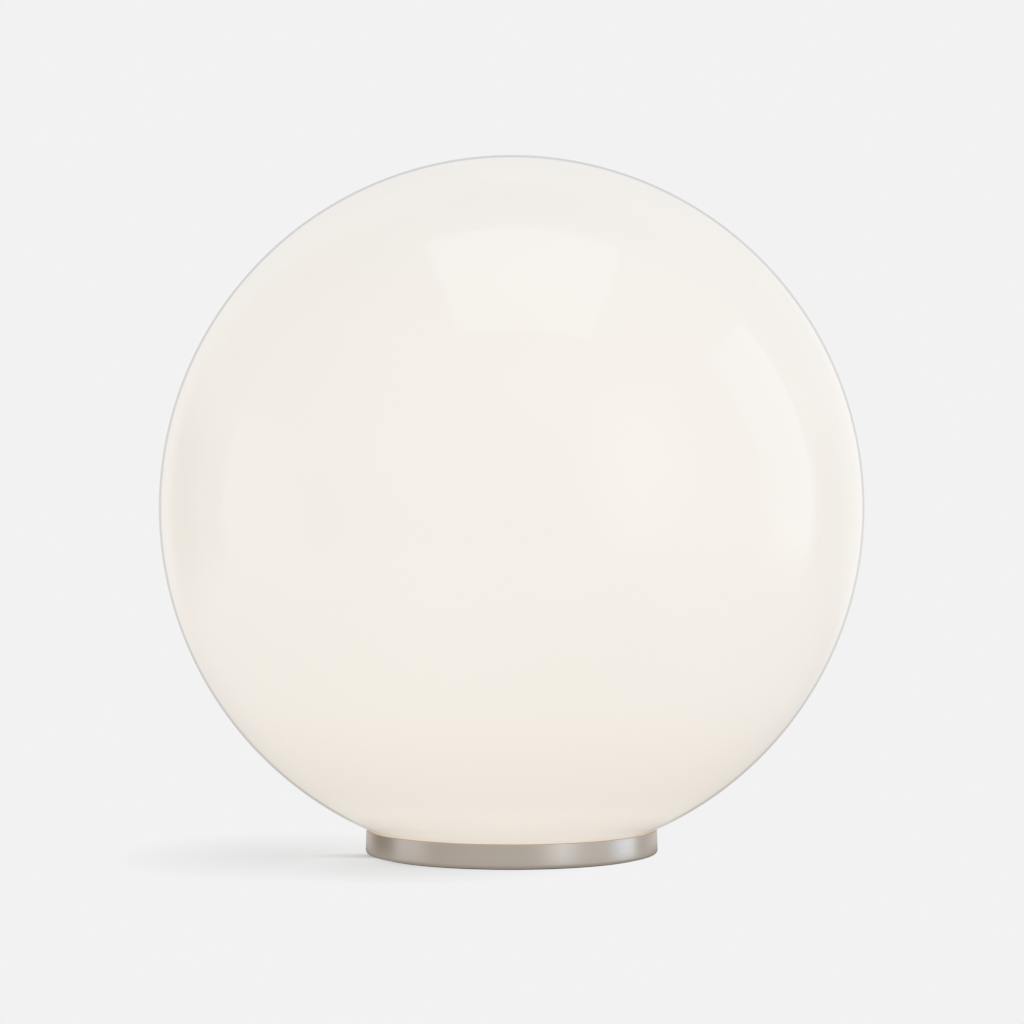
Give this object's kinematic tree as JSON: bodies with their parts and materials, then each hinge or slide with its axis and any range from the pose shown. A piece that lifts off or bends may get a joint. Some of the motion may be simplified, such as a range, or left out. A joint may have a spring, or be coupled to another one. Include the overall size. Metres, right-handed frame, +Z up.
{
  "type": "sphere floor light",
  "caption": "Large opal glass sphere lamp that stands on a low brushed nickel base ring; the globe lifts off for changing the screw-in bulb.",
  "frame": {"origin": "on the floor, at the centre of the base ring's footprint", "axes": "+Z up along the globe's axis, -Y to the front, +Y to the back where the cord inlet is, +X to the right seen from the front"},
  "size_m": [0.3999, 0.4, 0.3971],
  "materials": {
    "opal_glass": "gloss",
    "brushed_nickel": "satin",
    "cast_grey": "matte",
    "white_enamel": "satin",
    "zinc_steel": "satin",
    "foot_foam": "matte",
    "tan_silicone": "matte",
    "spring_steel": "satin",
    "clear_silicone": "satin",
    "black_nylon": "matte",
    "white_nylon": "satin",
    "brass": "satin",
    "brown_sleeve": "satin",
    "blue_sleeve": "satin",
    "white_holder": "gloss",
    "holder_ceramic": "satin",
    "nickel_shell": "polished",
    "bulb_opal": "satin",
    "bulb_white": "satin",
    "black_glass": "gloss",
    "solder": "satin",
    "board_green": "satin",
    "board_white": "satin",
    "led_phosphor": "satin"
  },
  "bodies": {
    "base": {"base_ring": "brushed_nickel", "ballast": "cast_grey", "gallery": "white_enamel", "base_plate": "zinc_steel", "foot_ring": "foot_foam", "ring_screws": "zinc_steel", "plate_screws": "zinc_steel", "globe_gasket": "tan_silicone", "globe_clips": "spring_steel", "clip_sleeves": "clear_silicone", "clip_screws": "zinc_steel", "inlet_bush": "black_nylon", "nipple": "zinc_steel", "nipple_nut": "zinc_steel", "nipple_washer": "spring_steel", "terminal_block": "white_nylon", "terminal_barrels": "brass", "terminal_screws": "zinc_steel", "block_screw": "zinc_steel", "live_lead": "brown_sleeve", "neutral_lead": "blue_sleeve", "holder_cap": "white_holder", "holder_insert": "holder_ceramic", "holder_terminals": "brass", "holder_skirt": "white_holder", "screw_shell": "nickel_shell", "centre_contact": "brass"},
    "globe": {"globe": "opal_glass"},
    "bulb": {"bulb_dome": "bulb_opal", "bulb_body": "bulb_white", "bulb_cap": "nickel_shell", "bulb_insulator": "black_glass", "bulb_contact": "solder", "driver_board": "board_green", "led_board": "board_white", "led_chips": "led_phosphor"}
  },
  "joints": [
    {"name": "globe_lift", "type": "slide", "parent": "base", "child": "globe", "axis": [0, 0, 1], "range_m": [0, 0.18], "deforming": ["globe_clips", "clip_sleeves"]},
    {"name": "bulb_out", "type": "slide", "parent": "base", "child": "bulb", "axis": [0, 0, 1], "range_m": [0, 0.028]}
  ]
}
